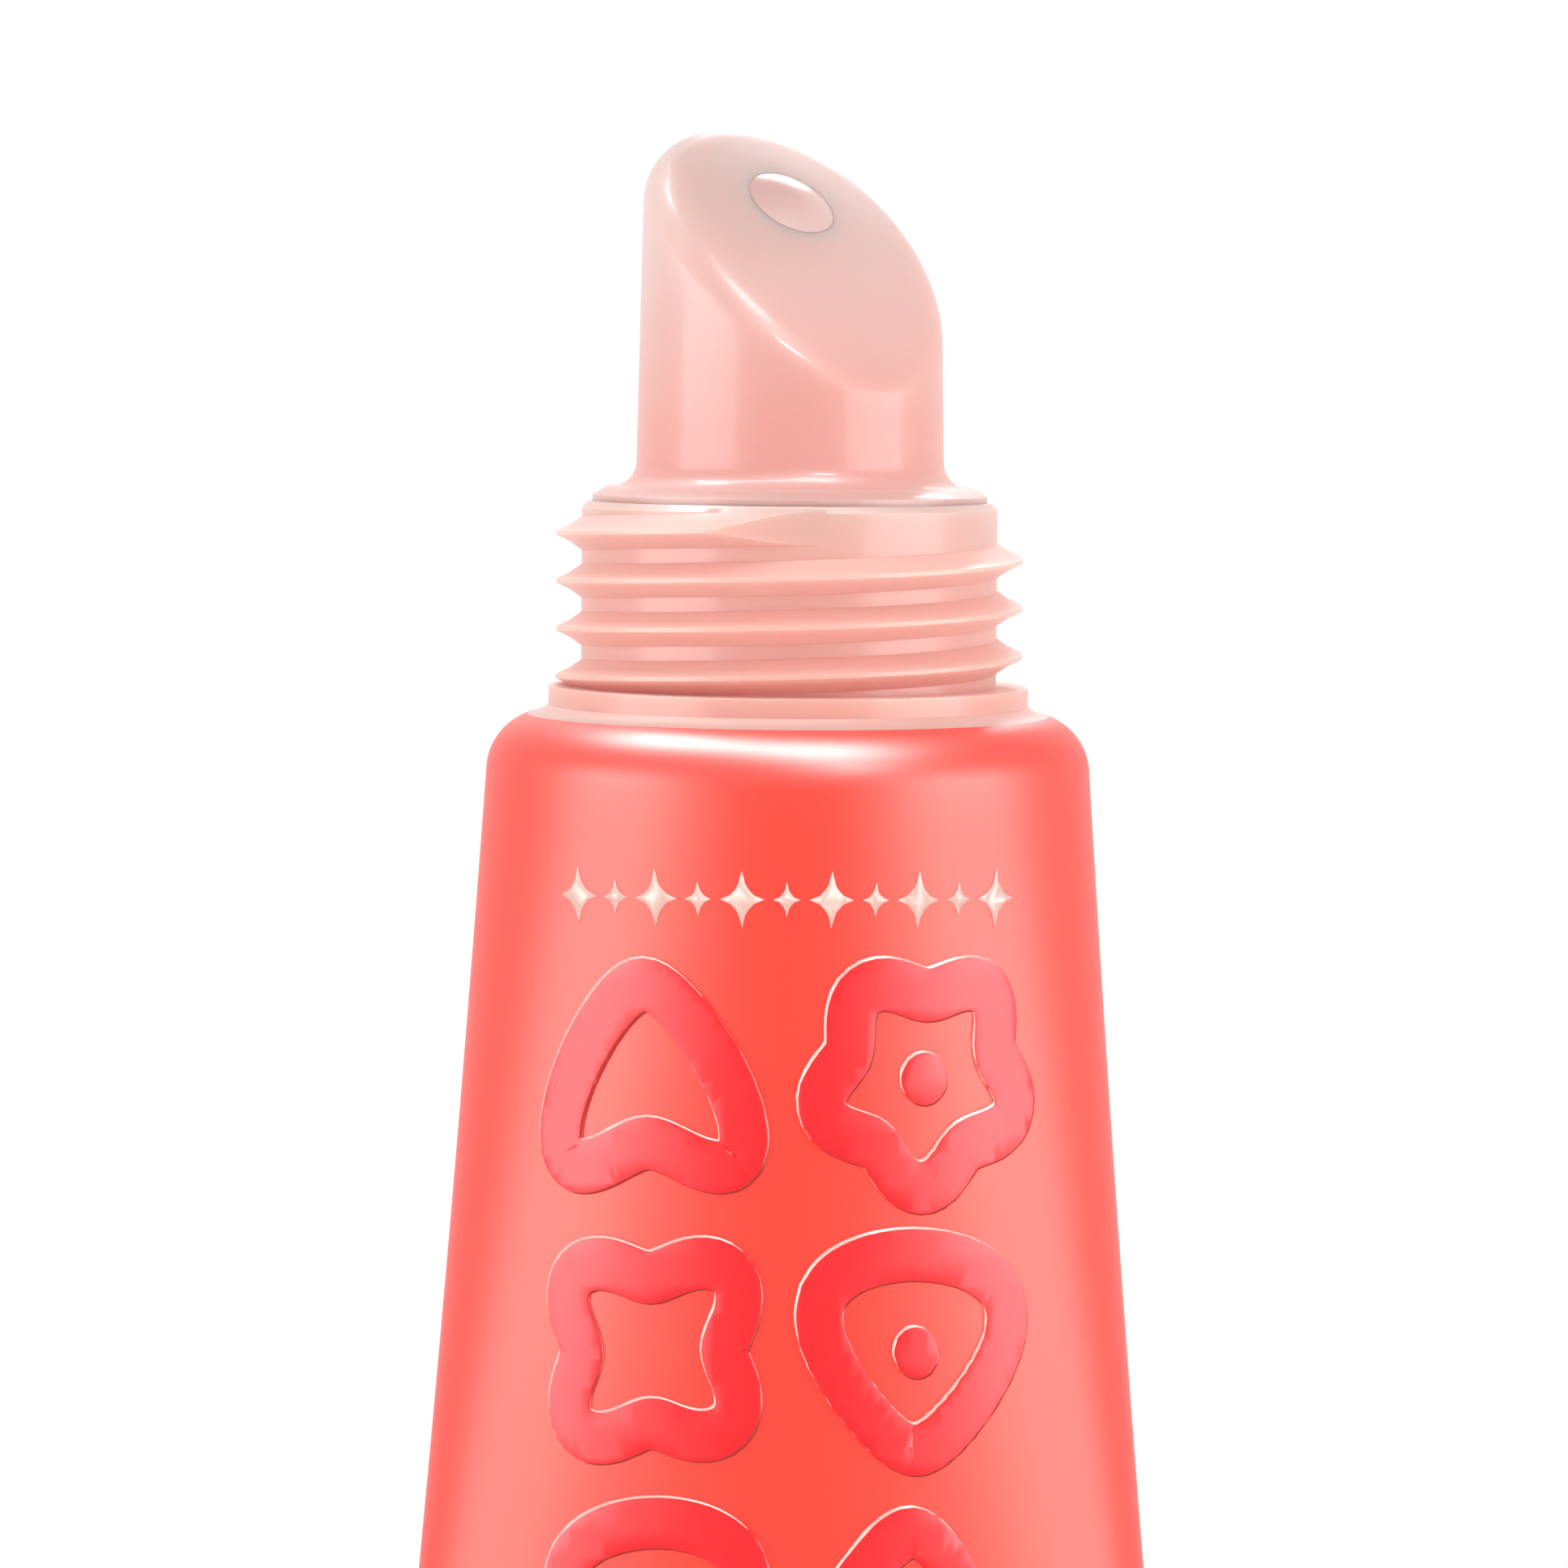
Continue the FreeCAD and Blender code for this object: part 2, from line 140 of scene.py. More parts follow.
def add_node(material, kind, settings=None, links=None):
    """Adds a node, sets its properties and input values, and links inputs to other nodes' outputs."""
    node = material.node_tree.nodes.new(kind)
    for key, value in (settings or {}).items():
        if isinstance(key, str) and hasattr(node, key):
            setattr(node, key, value)
        else:
            node.inputs[key].default_value = value
    for key, source in (links or {}).items():
        material.node_tree.links.new(source, node.inputs[key])
    return node


def new_material(name, **sockets):
    """A named material with one Principled shader, whose sockets are set by their names."""
    material = bpy.data.materials.new(name)
    material.use_nodes = True
    shader = material.node_tree.nodes["Principled BSDF"]
    for key, value in sockets.items():
        shader.inputs[key.replace("_", " ").title().replace("Ior", "IOR")].default_value = value
    return material, shader


def link(material, source, shader, socket):
    material.node_tree.links.new(source, shader.inputs[socket])


# ---- the sleeve's shape, the same as in the frame ----

SLEEVE_R = (SLEEVE_HIGH.y - SLEEVE_LOW.y) / 2
SHOULDER_ROUND = 1.9 * MM
TURN_IN = 1.3 * MM
SLEEVE_WALL = 0.45 * MM
CRIMP_HEIGHT = 5 * MM
CRIMP_THICKNESS = 0.8 * MM
CRIMP_STEP = 0.3 * MM              # height over which the sleeve turns flat at the crimp's top
LIP_STEPS = 10
LIP_TUCK = 2 * MM                  # how far the sleeve's mouth reaches down inside
LIP_ANGLE = math.acos((SHOULDER_ROUND - TURN_IN) / SHOULDER_ROUND)
ROUND_Z = SLEEVE_HIGH.z - SHOULDER_ROUND * math.sin(LIP_ANGLE)
FLARE_LINEAR = 0.74


def half_width(z):
    """Sleeve's half width at height z: round at the shoulder, flat at the crimp."""
    t = (ROUND_Z - z) / (ROUND_Z - CRIMP_HEIGHT)
    widening = (math.pi / 2 - 1) * SLEEVE_R
    return SLEEVE_R + widening * (FLARE_LINEAR * t + (1 - FLARE_LINEAR) * t * t)


def half_depth(z):
    """Sleeve's half depth at height z: straight from the shoulder to the crimp."""
    t = (ROUND_Z - z) / (ROUND_Z - CRIMP_HEIGHT)
    return SLEEVE_R + (SLEEVE_WALL - SLEEVE_R) * t


# the slant's lean from the axis, the way it runs downhill, and the drop of gloss in its middle
SLANT = math.radians(41)
DOWNHILL = math.radians(-53)
TIP_HEIGHT = 9.4 * MM
BEAD_R = 1.42 * MM
BEAD_RISE = 0.36 * MM
BEAD_SINK = 0.065 * MM
BEAD_RINGS = 12
TIP_CLOUD_LOW = 2.5 * MM           # above the head, where the tip's colour begins to pale


# ---- sizes and colours that a user would change ----

def length_property(name, description, millimetres):
    return bpy.props.FloatProperty(name=name, description=description, default=millimetres * MM,
                                   min=0.0, precision=5, unit="LENGTH")


def colour_property(name, description, hex_colour):
    return bpy.props.FloatVectorProperty(name=name, description=description, size=4, min=0.0, max=1.0,
                                         default=linear(hex_colour), subtype="COLOR")


class GlossTubeSizes(bpy.types.PropertyGroup):
    """Sizes of the decoration and of the crimp's ribs."""
    stroke: length_property("Stroke", "Width of the big ornaments' strokes", 1.65)
    column: length_property("Column", "Middle of each column of ornaments, from the tube's middle", 4.85)
    relief: length_property("Relief", "How far the raised ink stands off the sleeve", 0.07)
    # the edge width is how far the pale copy, a painted highlight, and the dark copy, a painted shade, peek
    # out from the ornaments
    painted_edge: length_property("Painted edge", "Width of the pale and dark edges beside the ornaments", 0.065)
    rib_pitch: length_property("Rib pitch", "Distance between the ribs pressed in the crimp", 0.8)


class GlossTubeColours(bpy.types.PropertyGroup):
    """Colours of the plastics, the ink, the painted highlight and shade at the ornaments' edges, and the
    gloss.
    """
    sleeve: colour_property("Sleeve", "Coral polyethylene of the sleeve and the cap", "FA3E2C")
    ink: colour_property("Ink", "Raised red ink of the big ornaments", "F2101B")
    # the pale ink prints the small sparkles and also paints the highlight along the ornaments' upper-left
    # edges
    pale_ink_and_painted_highlight: colour_property("Pale ink and painted highlight", "Pale ink and painted highlight of the small marks and the keyline", "F6C9BC")
    # painted shade along the ornaments' lower-right edges
    painted_shade_colour: colour_property("Painted shade", "Dark edge on the ornaments' other side", "B9352C")
    gel: colour_property("Gel", "The gloss inside", "F0644F")
    bead: colour_property("Bead", "The thin drop of gloss in the tip's hole", "F4CFC8")


# ---- finishes ----

def coral_polyethylene():
    """Extruded glossy polyethylene: smooth, with soft, wide reflections and faint draw lines."""
    colours = bpy.context.scene.gloss_tube_colours
    material, shader = new_material("Coral extruded polyethylene", base_color=colours.sleeve, roughness=0.42,
                                    specular_ior_level=0.34)
    place = add_node(material, "ShaderNodeTexCoord")
    # draw lines run the length of the sleeve, about 2 mm apart, so the pattern hardly changes along Z
    stretch = add_node(material, "ShaderNodeMapping", {"Scale": (500.0, 500.0, 12.0)},
                       {"Vector": place.outputs["Object"]})
    lines = add_node(material, "ShaderNodeTexNoise", {"Scale": 1.0, "Detail": 2.0},
                     {"Vector": stretch.outputs[0]})
    bump = add_node(material, "ShaderNodeBump", {"Strength": 0.06, "Distance": 0.02 * MM},
                    {"Height": lines.outputs["Fac"]})
    link(material, bump.outputs["Normal"], shader, "Normal")
    return material


def natural_polyethylene(name, low, high, low_hex, high_hex):
    """Undyed moulded polyethylene: cloudy, and deeper in colour low down, where more gloss is behind it."""
    material, shader = new_material(name, roughness=0.5, specular_ior_level=0.2, coat_weight=0.1,
                                    coat_roughness=0.15, sheen_weight=0.25, sheen_roughness=0.5,
                                    subsurface_weight=0.9, subsurface_radius=(1.0, 0.5, 0.4),
                                    subsurface_scale=1.7 * MM)
    place = add_node(material, "ShaderNodeTexCoord")
    height = add_node(material, "ShaderNodeSeparateXYZ", links={"Vector": place.outputs["Object"]})
    share = add_node(material, "ShaderNodeMapRange", {"From Min": low, "From Max": high},
                     {"Value": height.outputs["Z"]})
    cloud = add_node(material, "ShaderNodeTexNoise", {"Scale": 260.0, "Detail": 2.0},
                     {"Vector": place.outputs["Object"]})
    wobble = add_node(material, "ShaderNodeMath", {"operation": "MULTIPLY_ADD", 1: 0.24, 2: -0.12},
                      {0: cloud.outputs["Fac"]})
    mixed = add_node(material, "ShaderNodeMath", {"operation": "ADD", "use_clamp": True},
                     {0: share.outputs["Result"], 1: wobble.outputs[0]})
    colour = add_node(material, "ShaderNodeMix", {"data_type": "RGBA"}, {0: mixed.outputs[0]})
    colour.inputs[6].default_value = linear(low_hex)
    colour.inputs[7].default_value = linear(high_hex)
    link(material, colour.outputs[2], shader, "Base Color")
    grain = add_node(material, "ShaderNodeTexNoise", {"Scale": 2500.0, "Detail": 1.0},
                     {"Vector": place.outputs["Object"]})
    bump = add_node(material, "ShaderNodeBump", {"Strength": 0.05, "Distance": 0.01 * MM},
                    {"Height": grain.outputs["Fac"]})
    link(material, bump.outputs["Normal"], shader, "Normal")
    return material


# ---- the tube ----

SLEEVE_SIDES = 288
SLEEVE_RINGS = 44


class GLOSSTUBE_OT_sleeve(bpy.types.Operator):
    """Model the smooth skin of the sleeve, from its turned-in lip down to the crimp"""
    bl_idname = "gloss_tube.sleeve"
    bl_label = "Sleeve"

    def execute(self, context):
        bpy.ops.object.select_all(action="DESELECT")
        bpy.ops.mesh.primitive_circle_add(vertices=SLEEVE_SIDES, radius=SLEEVE_R, fill_type="NOTHING",
                                          location=(0, 0, ROUND_Z))
        skin = only(context.object)
        bpy.ops.object.transform_apply(location=True)
        bpy.ops.object.mode_set(mode="EDIT")
        bpy.ops.mesh.select_all(action="SELECT")
        z, a, b = ROUND_Z, SLEEVE_R, SLEEVE_R
        for i in range(1, SLEEVE_RINGS + 1):
            next_z = ROUND_Z + (CRIMP_HEIGHT - ROUND_Z) * i / SLEEVE_RINGS
            next_a = half_width(next_z)
            next_b = half_depth(next_z)
            extrude_ring(next_z - z, next_a / a, next_b / b)
            z, a, b = next_z, next_a, next_b
        for step in (CRIMP_STEP, CRIMP_HEIGHT - CRIMP_STEP):
            extrude_ring(-step, 1, CRIMP_THICKNESS / 2 / b)
            b = CRIMP_THICKNESS / 2
        bpy.ops.mesh.edge_face_add()
        self.turn_in_lip(skin)
        self.flatten_crimp(skin)
        settle(skin, "sleeve_skin", "tube", coral_polyethylene())
        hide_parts("sleeve")
        return {"FINISHED"}

    def turn_in_lip(self, skin):
        """The top ring follows the shoulder's rounding in, folds under, and closes inside."""
        pick(skin, "VERT", lambda v: abs(v.co.z - ROUND_Z) < 0.001 * MM)
        centre = SLEEVE_R - SHOULDER_ROUND
        inner = SHOULDER_ROUND - SLEEVE_WALL
        outline = [(SHOULDER_ROUND, LIP_ANGLE * i / LIP_STEPS) for i in range(1, LIP_STEPS + 1)]
        outline += [(inner, LIP_ANGLE * (LIP_STEPS - i) / LIP_STEPS) for i in range(LIP_STEPS + 1)]
        radius, z = SLEEVE_R, ROUND_Z
        for reach, angle in outline:
            next_radius = centre + reach * math.cos(angle)
            next_z = ROUND_Z + reach * math.sin(angle)
            extrude_ring(next_z - z, next_radius / radius, next_radius / radius)
            radius, z = next_radius, next_z
        extrude_ring(-LIP_TUCK, 1, 1)
        bpy.ops.mesh.edge_face_add()
        bpy.ops.object.mode_set(mode="OBJECT")

    def flatten_crimp(self, skin):
        """Below the crimp's upper edge both walls are flat, and only the two ends are round."""
        edge = half_width(CRIMP_HEIGHT)
        for v in skin.data.vertices:
            if v.co.z < CRIMP_HEIGHT - 0.1 * MM:
                share = min(1.0, abs(v.co.x) / edge)
                v.co.y = math.copysign(CRIMP_THICKNESS / 2 * (1 - share ** 24) ** 0.5, v.co.y)


def extrude_ring(rise, scale_x, scale_y):
    """Extrudes the selected ring along Z and scales the new one about the axis."""
    bpy.ops.mesh.extrude_region_move(TRANSFORM_OT_translate={"value": (0, 0, rise)})
    bpy.ops.transform.resize(value=(scale_x, scale_y, 1))


RIB_MARGIN = 1.1 * MM              # of smooth plastic above and below the ribs, added up
RIB_RELIEF = 0.12 * MM             # both sides together
RIB_ROUND = 0.05 * MM


class GLOSSTUBE_OT_crimp_ribs(bpy.types.Operator):
    """Model the ribs that the sealing jaws press into both sides of the crimp"""
    bl_idname = "gloss_tube.crimp_ribs"
    bl_label = "Crimp ribs"

    def execute(self, context):
        pitch = context.scene.gloss_tube_sizes.rib_pitch
        width = half_width(CRIMP_HEIGHT) * 2
        count = int(width / pitch) - 1
        height = CRIMP_HEIGHT - RIB_MARGIN
        start = -(count - 1) * pitch / 2
        bpy.ops.object.select_all(action="DESELECT")
        bpy.ops.mesh.primitive_cube_add(size=1, location=(start, 0, CRIMP_HEIGHT / 2))
        ribs = only(context.object)
        ribs.scale = (pitch / 2, CRIMP_THICKNESS + RIB_RELIEF, height)
        bpy.ops.object.transform_apply(location=True, scale=True)
        add_modifier(ribs, "BEVEL", width=RIB_ROUND, segments=2)
        add_modifier(ribs, "ARRAY", count=count, use_relative_offset=False, use_constant_offset=True,
                     constant_offset_displace=(pitch, 0, 0))
        plastic = bpy.data.materials["Coral extruded polyethylene"]
        settle(ribs, "crimp_ribs", "tube", plastic)
        return {"FINISHED"}


# ---- decoration: flat ornaments laid round the sleeve ----

FIRST_ROW = 10.8 * MM              # below the shoulder, to the middle of the columns' first row
ROW_PITCH = 8.75 * MM
SMALL_ROW = 5.2 * MM               # below the shoulder, to the row of sparkles
SPARKLE_PITCH = 1.46 * MM
SPARKLES_EACH_SIDE = 5
SPARKLE_REACHES = (0.55 * MM, 0.9 * MM)
BEND_CLEARANCE = 1.03              # the bend's radius over the sleeve's
FACE_WIDTH, FACE_HEIGHT = 0.4 * MM, 0.8 * MM    # of the faces an ornament is cut into to be bent


def flat_circle(x, z, radius, sides=48):
    """Filled circle in the XZ plane that faces the front."""
    bpy.ops.object.select_all(action="DESELECT")
    bpy.ops.mesh.primitive_circle_add(vertices=sides, radius=radius, fill_type="NGON", location=(x, 0, z),
                                      rotation=(math.pi / 2, 0, 0))
    return only(bpy.context.object)


def band(x, z, stroke, line, sides=88):
    """Closed band of even width along line(angle), which gives a point in millimetres from the middle."""
    piece = flat_circle(x, z, 1.0, sides)
    pick(piece, "FACE", lambda f: True)
    bpy.ops.mesh.inset(thickness=0.2, depth=0)
    bpy.ops.mesh.delete(type="FACE")
    bpy.ops.object.mode_set(mode="OBJECT")
    small = 0.001
    for v in piece.data.vertices:
        angle = math.atan2(v.co.y, v.co.x)
        outside = 1 if v.co.xy.length > 0.9 else -1
        here, ahead = Vector(line(angle)), Vector(line(angle + small))
        along = (ahead - here).normalized()
        v.co.xy = here * MM + Vector((along.y, -along.x)) * outside * stroke / 2
    return piece


def heart(angle):
    """Heart with its point up, as the tube is read with its cap down."""
    t = angle + math.pi / 2
    return 3.42 * math.sin(t), 0.4 - 2.5 * math.cos(t) - 3 * (math.sqrt(math.sin(t) ** 2 + 0.0625) - 0.25)


def blossom(angle):
    """Five round petals."""
    reach = 3.05 * (1 + 0.135 * math.cos(5 * angle + math.pi / 2))
    return 1.08 * reach * math.cos(angle), reach * math.sin(angle)


def clover(angle):
    """Four round leaves, wider than tall."""
    reach = 3.1 * (1 + 0.2 * math.cos(4 * angle + math.pi))
    return 1.1 * reach * math.cos(angle), 0.95 * reach * math.sin(angle)


def drop(angle):
    """Drop with its narrow end down."""
    t = angle + math.pi / 2
    return 3.3 * math.sin(t) * (1 - 0.46 * math.cos(t)), -3.15 * math.cos(t)


def sparkle(x, z, reach):
    """Four-pointed star with hollow sides."""
    piece = flat_circle(x, z, reach, 24)
    for v in piece.data.vertices:
        angle = math.atan2(v.co.y, v.co.x)
        pinch = (abs(math.cos(angle)) ** 0.62 + abs(math.sin(angle)) ** 0.62) ** (-1 / 0.62)
        v.co.xy = (0.8 * reach * pinch * math.cos(angle), reach * pinch * math.sin(angle))
    return piece


def lay_round(flat, sleeve, thickness, bevel):
    """Cuts a flat ornament into small faces, bends it round the tube, and gives it the ink's thickness."""
    only(flat)
    bpy.ops.object.transform_apply(location=True, rotation=True, scale=True)
    xs = [v.co.x for v in flat.data.vertices]
    zs = [v.co.z for v in flat.data.vertices]
    bpy.ops.object.mode_set(mode="EDIT")
    for axis, values, pitch in ((0, xs, FACE_WIDTH), (2, zs, FACE_HEIGHT)):
        normal = tuple(1.0 if i == axis else 0.0 for i in range(3))
        for i in range(1, int((max(values) - min(values)) / pitch) + 1):
            bpy.ops.mesh.select_all(action="SELECT")
            place = tuple(min(values) + i * pitch if k == axis else 0.0 for k in range(3))
            bpy.ops.mesh.bisect(plane_co=place, plane_no=normal)
    bpy.ops.object.mode_set(mode="OBJECT")
    bend_radius = SLEEVE_R * BEND_CLEARANCE
    angle = (max(xs) - min(xs)) / bend_radius
    add_modifier(flat, "SIMPLE_DEFORM", deform_method="BEND", deform_axis="Z", angle=angle)
    flat.location.y = -bend_radius
    bpy.ops.object.transform_apply(location=True)
    add_modifier(flat, "SHRINKWRAP", target=sleeve, wrap_method="NEAREST_SURFACEPOINT",
                 wrap_mode="ABOVE_SURFACE", offset=0.0)
    add_modifier(flat, "SOLIDIFY", thickness=thickness, offset=0.8)
    if bevel:
        add_modifier(flat, "BEVEL", width=bevel, segments=2, limit_method="ANGLE",
                     angle_limit=math.radians(60))
    only(flat)
    bpy.ops.object.shade_smooth()
    add_modifier(flat, "WEIGHTED_NORMAL", weight=100)
    return flat


def copied(piece, name, across=0.0, up=0.0):
    """A copy with its own mesh, moved in the flat."""
    twin = piece.copy()
    twin.data = piece.data.copy()
    bpy.context.scene.collection.objects.link(twin)
    twin.location.x += across
    twin.location.z += up
    twin.name = name
    return twin


class GLOSSTUBE_OT_print(bpy.types.Operator):
    """Model the raised ink on the front: two columns of big ornaments and a row of small ones"""
    bl_idname = "gloss_tube.ornaments"
    bl_label = "Printed ornaments"

    def execute(self, context):
        sizes = context.scene.gloss_tube_sizes
        colours = context.scene.gloss_tube_colours
        columns = ((-sizes.column, (heart, clover, drop, blossom)),
                   (sizes.column, (blossom, drop, heart, clover)))
        ornaments = []
        for x, shapes in columns:
            for row, shape in enumerate(shapes):
                z = SLEEVE_HIGH.z - FIRST_ROW - row * ROW_PITCH
                ornaments.append(band(x, z, sizes.stroke, shape))
                if shape in (blossom, drop):
                    ornaments.append(flat_circle(x, z, sizes.stroke * 0.5, 32))
        big = joined(ornaments)
        small = joined([sparkle(i * SPARKLE_PITCH, SLEEVE_HIGH.z - SMALL_ROW, SPARKLE_REACHES[i % 2])
                        for i in range(-SPARKLES_EACH_SIDE, SPARKLES_EACH_SIDE + 1)])
        for flat in (big, small):
            only(flat)
            bpy.ops.object.transform_apply(location=True, rotation=True, scale=True)
        # a pale copy moved up-left and a dark copy moved down-right paint a highlight and a shade along the
        # ornaments' edges
        edge = sizes.painted_edge
        pale = copied(big, "pale", -edge, edge)
        dark = copied(big, "dark", edge, -edge)
        sleeve = bpy.data.objects["sleeve_skin"]
        red = ink("Raised red screen ink", colours.ink, 0.4)
        light = ink("Pale screen ink and painted highlight", colours.pale_ink_and_painted_highlight, 0.4)
        shade = ink("Dark painted shade", colours.painted_shade_colour, 0.35)
        # the pale layer peeking out at the ornaments' upper-left edges is a painted highlight, and the dark
        # layer at their lower-right edges is a painted shade
        layers = ((big, "ornament_ink", red, sizes.relief * 1.7, 0.025 * MM),
                  (small, "small_ornament_ink", light, sizes.relief * 0.5, 0.0),
                  (pale, "ornament_painted_highlight", light, sizes.relief, 0.0),
                  (dark, "ornament_shade", shade, sizes.relief * 0.7, 0.0))
        for flat, name, material, thickness, bevel in layers:
            settle(lay_round(flat, sleeve, thickness, bevel), name, "tube", material, 0)
        return {"FINISHED"}


def ink(name, colour, roughness):
    """Screen ink: an opaque, slightly glossy layer that stands off the plastic."""
    material, shader = new_material(name, base_color=colour, roughness=roughness, specular_ior_level=0.32)
    place = add_node(material, "ShaderNodeTexCoord")
    ripple = add_node(material, "ShaderNodeTexNoise", {"Scale": 900.0, "Detail": 1.0},
                      {"Vector": place.outputs["Object"]})
    bump = add_node(material, "ShaderNodeBump", {"Strength": 0.12, "Distance": 0.02 * MM},
                    {"Height": ripple.outputs["Fac"]})
    link(material, bump.outputs["Normal"], shader, "Normal")
    return material


def smooth_copy(node, name, angle, material):
    """The CAD node's own surface with its vertices merged, so that it shades smoothly."""
    source = frame["nodes"][node]
    twin = source.copy()
    twin.data = source.data.copy()
    bpy.context.scene.collection.objects.link(twin)
    twin.parent = None
    twin.matrix_world = source.matrix_world
    pick(only(twin), "VERT", lambda v: True)
    bpy.ops.mesh.remove_doubles(threshold=0.0005 * MM)
    bpy.ops.mesh.customdata_custom_splitnormals_clear()
    bpy.ops.object.mode_set(mode="OBJECT")
    settle(twin, name, source["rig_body"], material, angle)
    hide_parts(node)
    return twin


class GLOSSTUBE_OT_tip_and_head(bpy.types.Operator):
    """Model the slanted applicator tip, the head with its thread, and the gloss inside"""
    bl_idname = "gloss_tube.tip_and_head"
    bl_label = "Tip, head and gloss"

    def execute(self, context):
        tip = natural_polyethylene("Undyed moulded polyethylene of the tip", HEAD_HIGH.z + TIP_CLOUD_LOW,
                                   TIP_HIGH.z, "EFA89E", "EAD6D0")
        colours = context.scene.gloss_tube_colours
        smooth_copy("applicator_tip", "tip_skin", 32, tip)
        head = natural_polyethylene("Undyed moulded polyethylene of the head", SLEEVE_HIGH.z, HEAD_HIGH.z,
                                    "ECADA0", "EDB9AE")
        smooth_copy("tube_head", "head_skin", 32, head)
        gel = gloss_gel("Tinted gloss gel", colours.gel, 0.6, 0.06)
        smooth_copy("gloss", "gloss_body", 32, gel)
        self.bead(gloss_gel("Thin film of gloss gel", colours.bead, 0.05, 0.24))
        return {"FINISHED"}

    def bead(self, material):
        """A drop of gloss stands in the tip's hole: a lens that bulges a little past the slant."""
        lean = Vector((math.sin(SLANT) * math.cos(DOWNHILL), math.sin(SLANT) * math.sin(DOWNHILL),
                       math.cos(SLANT)))
        apex = Vector((0, 0, HEAD_HIGH.z + TIP_HEIGHT))
        bpy.ops.object.select_all(action="DESELECT")
        bpy.ops.mesh.primitive_circle_add(vertices=64, radius=BEAD_R, fill_type="NOTHING",
                                          location=apex - lean * BEAD_SINK)
        drop_of_gel = only(bpy.context.object)
        bpy.ops.object.mode_set(mode="EDIT")
        bpy.ops.mesh.select_all(action="SELECT")
        sphere_r = (BEAD_R ** 2 + BEAD_RISE ** 2) / (2 * BEAD_RISE)
        steep = math.asin(BEAD_R / sphere_r)
        radius, height = BEAD_R, 0.0
        for i in range(BEAD_RINGS - 1, 0, -1):
            next_radius = sphere_r * math.sin(steep * i / BEAD_RINGS)
            next_height = BEAD_RISE - sphere_r * (1 - math.cos(steep * i / BEAD_RINGS))
            extrude_ring(next_height - height, next_radius / radius, next_radius / radius)
            radius, height = next_radius, next_height
        bpy.ops.mesh.edge_face_add()
        bpy.ops.object.mode_set(mode="OBJECT")
        pick(drop_of_gel, "VERT", lambda v: v.co.xy.length > BEAD_R - 0.001 * MM)
        extrude_ring(-BEAD_SINK * 4, 0.78, 0.78)
        bpy.ops.mesh.edge_face_add()
        bpy.ops.mesh.select_all(action="SELECT")
        bpy.ops.mesh.normals_make_consistent(inside=False)
        bpy.ops.object.mode_set(mode="OBJECT")
        drop_of_gel.rotation_euler = lean.to_track_quat("Z", "Y").to_euler()
        settle(drop_of_gel, "gloss_bead", "tube", material, 50)


def gloss_gel(name, colour, weight, roughness):
    """Lip gloss: a thick tinted oil that light goes into, with a wet surface."""
    material, shader = new_material(name, roughness=roughness, ior=1.46, subsurface_weight=weight,
                                    subsurface_radius=(1.0, 0.5, 0.4), subsurface_scale=1.5 * MM)
    place = add_node(material, "ShaderNodeTexCoord")
    # slow swirls a few millimetres wide, left by filling the tube
    swirl = add_node(material, "ShaderNodeTexNoise", {"Scale": 180.0, "Distortion": 1.5},
                     {"Vector": place.outputs["Object"]})
    mixed = add_node(material, "ShaderNodeMix", {"data_type": "RGBA"}, {0: swirl.outputs["Fac"]})
    mixed.inputs[6].default_value = tuple(c * 0.9 for c in colour[:3]) + (1.0,)
    mixed.inputs[7].default_value = colour
    link(material, mixed.outputs[2], shader, "Base Color")
    return material


# ---- the cap ----

class GLOSSTUBE_OT_cap(bpy.types.Operator):
    """Model the cap: coral shell, undyed threaded core, and the soft sealing ring"""
    bl_idname = "gloss_tube.cap"
    bl_label = "Cap"

    def execute(self, context):
        smooth_copy("cap_shell", "cap_shell_skin", 32, cap_polypropylene())
        core = natural_polyethylene("Undyed moulded polypropylene of the cap's core", CAP_LOW.z, CAP_HIGH.z,
                                    "EBD9D2", "EFE2DC")
        smooth_copy("cap_core", "cap_core_skin", 32, core)
        smooth_copy("cap_seal_ring", "seal_ring_skin", 32, silicone())
        return {"FINISHED"}


def cap_polypropylene():
    """Polypropylene moulded in a polished mould: glossier than the sleeve, with sharper reflections."""
    colours = bpy.context.scene.gloss_tube_colours
    material, shader = new_material("Coral moulded polypropylene", base_color=colours.sleeve, roughness=0.22,
                                    ior=1.5, coat_weight=0.3, coat_roughness=0.05)
    place = add_node(material, "ShaderNodeTexCoord")
    flow = add_node(material, "ShaderNodeTexNoise", {"Scale": 120.0, "Detail": 2.0},
                    {"Vector": place.outputs["Object"]})
    bump = add_node(material, "ShaderNodeBump", {"Strength": 0.08, "Distance": 0.02 * MM},
                    {"Height": flow.outputs["Fac"]})
    link(material, bump.outputs["Normal"], shader, "Normal")
    return material


def silicone():
    """Moulded silicone rubber: milky, soft sheen, with the fine grain of a blasted mould."""
    material, shader = new_material("White moulded silicone", base_color=linear("EDE9E4"), roughness=0.5,
                                    ior=1.41, subsurface_weight=0.4, subsurface_radius=(1.0, 0.8, 0.7),
                                    subsurface_scale=0.6 * MM)
    place = add_node(material, "ShaderNodeTexCoord")
    grain = add_node(material, "ShaderNodeTexNoise", {"Scale": 4000.0}, {"Vector": place.outputs["Object"]})
    bump = add_node(material, "ShaderNodeBump", {"Strength": 0.15, "Distance": 0.01 * MM},
                    {"Height": grain.outputs["Fac"]})
    link(material, bump.outputs["Normal"], shader, "Normal")
    return material


# ---- floor, light and camera ----

